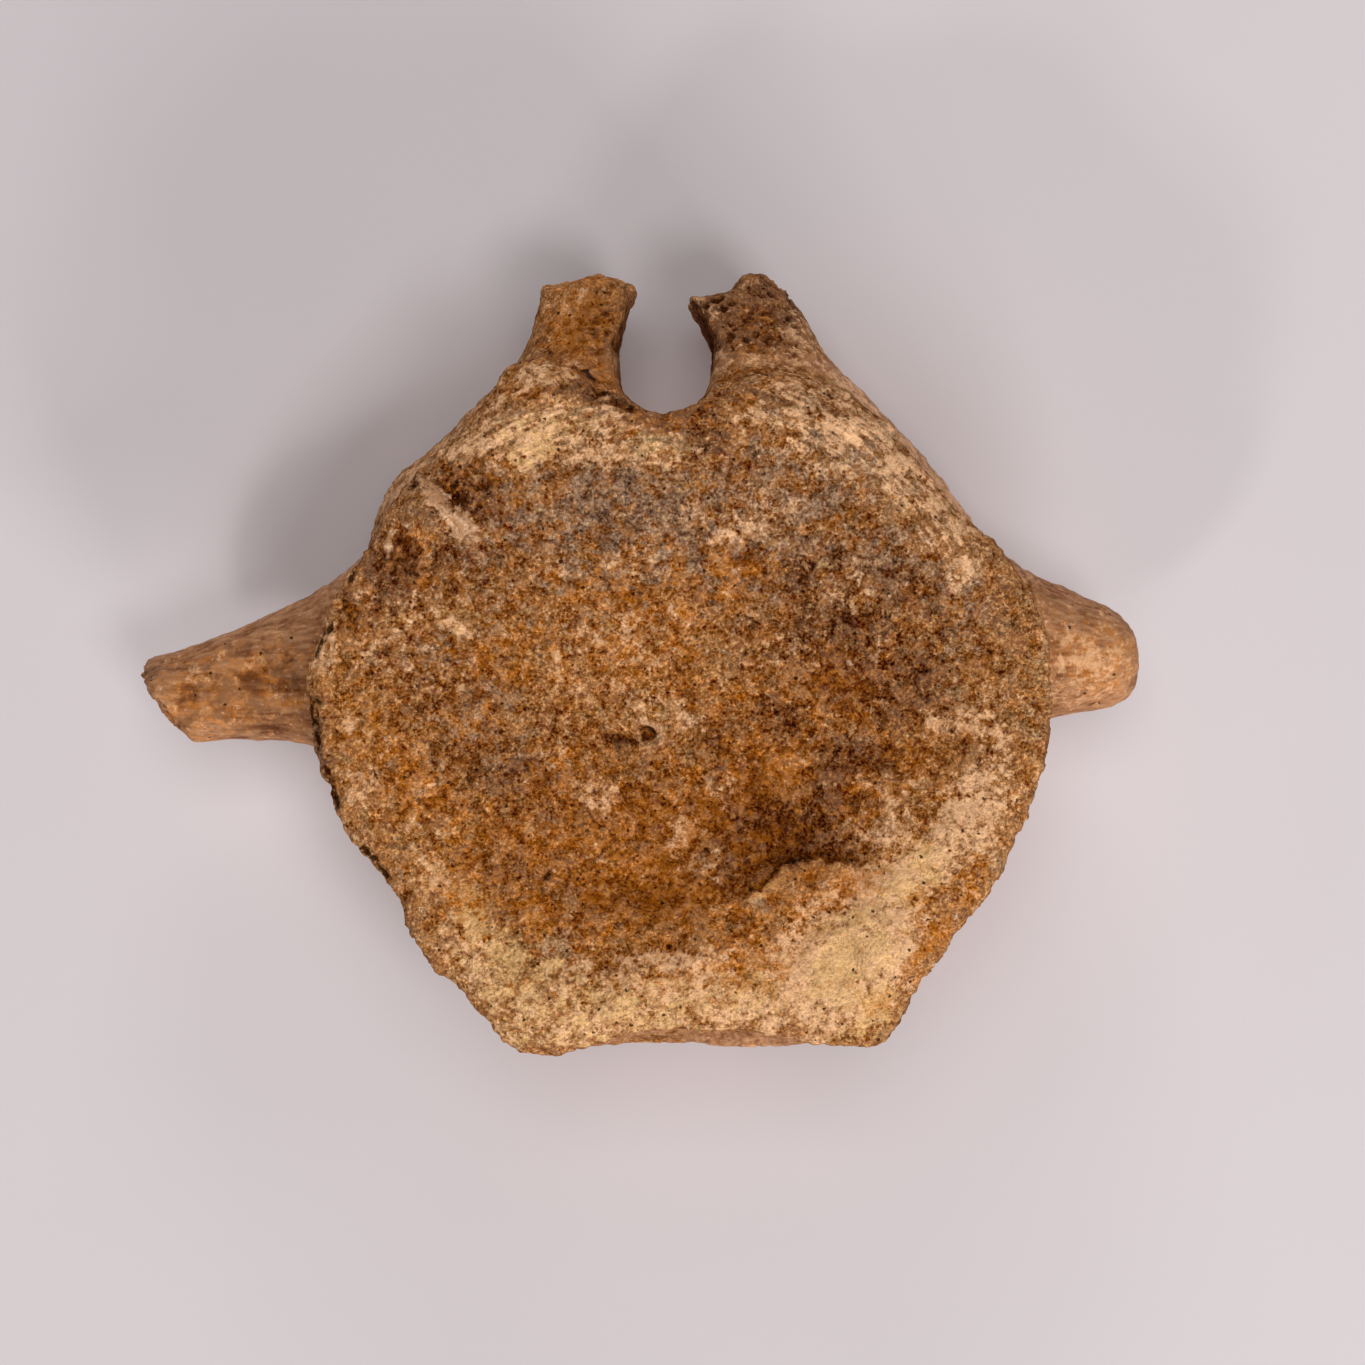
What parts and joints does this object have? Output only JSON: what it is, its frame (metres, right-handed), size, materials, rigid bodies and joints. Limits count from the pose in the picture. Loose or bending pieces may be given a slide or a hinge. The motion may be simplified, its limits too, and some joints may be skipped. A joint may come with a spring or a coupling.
{
  "type": "fossil vertebra",
  "caption": "Fossil dinosaur tail vertebra: dished hexagonal centrum with short side processes and broken neural arch stubs beside an open canal, lying on its front face.",
  "frame": {"origin": "under the middle of the bounding box, on the surface that the bone lies on", "axes": "+X is the side of the short rounded process, +Y is the animal's back, towards the open canal, and +Z is the animal's rear, with the rear face up"},
  "size_m": [0.1152, 0.0914, 0.0441],
  "materials": {
    "fossil_bone": "rough, matt, sandy"
  },
  "bodies": {
    "root": {"vertebra": "fossil_bone"}
  },
  "joints": []
}
